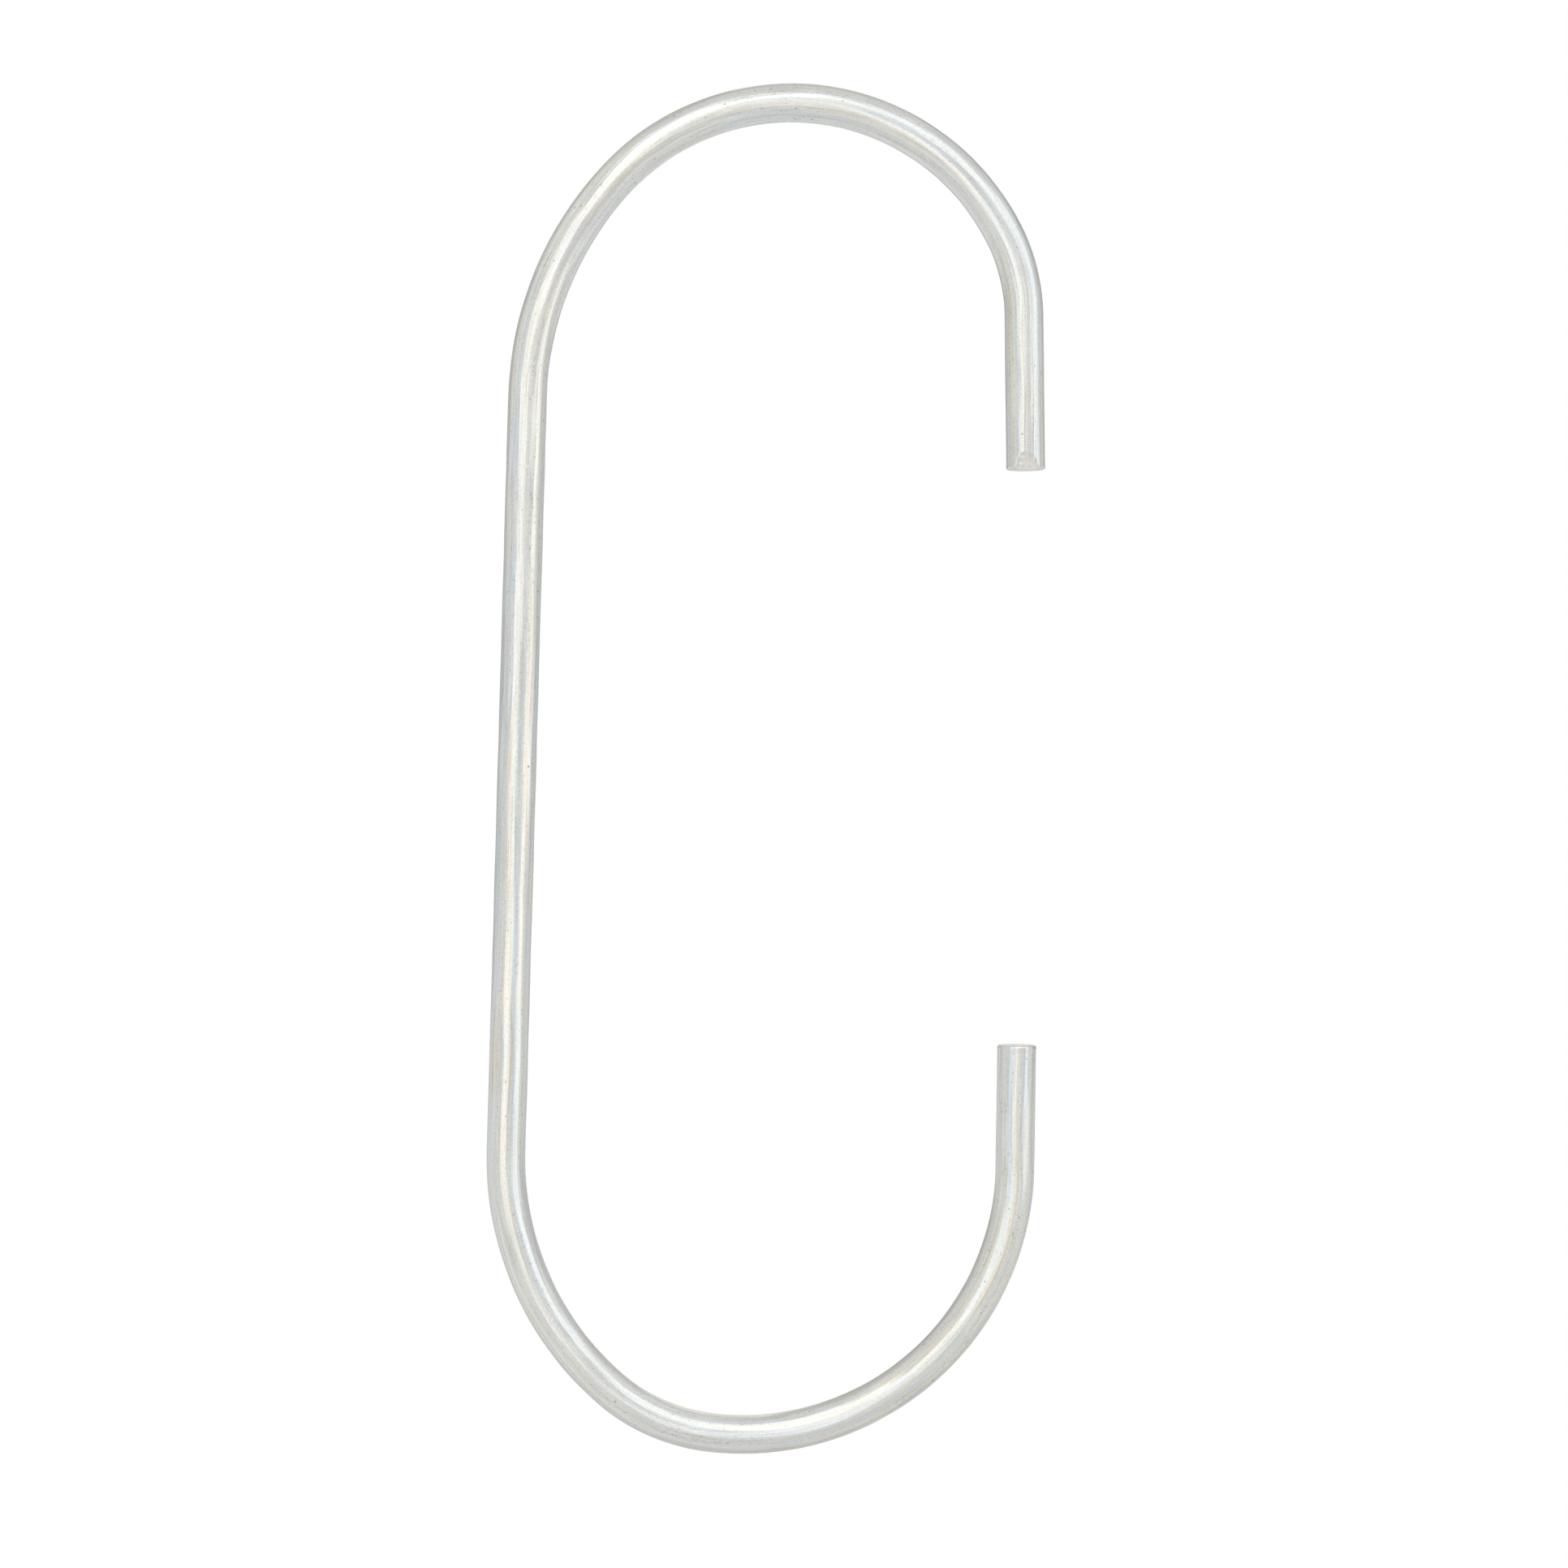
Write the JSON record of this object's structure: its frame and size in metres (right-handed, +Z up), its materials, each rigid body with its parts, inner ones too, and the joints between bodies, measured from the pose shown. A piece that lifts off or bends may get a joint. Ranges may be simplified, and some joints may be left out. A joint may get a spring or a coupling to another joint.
{
  "type": "c-hook",
  "caption": "Open C-shaped hanging hook bent from one round steel wire: it hangs from a rail by its upper bend and carries a load in its lower bend.",
  "frame": {"origin": "the saddle at the top of the inside of the upper bend, where the hook hangs on its rail, on the wire's own middle plane", "axes": "+Z up along the straight stem, +X from the stem towards the open mouth, +Y through the flat of the hook, along the rail, away from the pictured face"},
  "size_m": [0.0559, 0.004, 0.1399],
  "materials": {
    "zinc_wire": "zinc-coated drawn steel wire, satin, with fine draw lines along the wire"
  },
  "bodies": {
    "root": {"c_hook": "zinc_wire"}
  },
  "joints": []
}
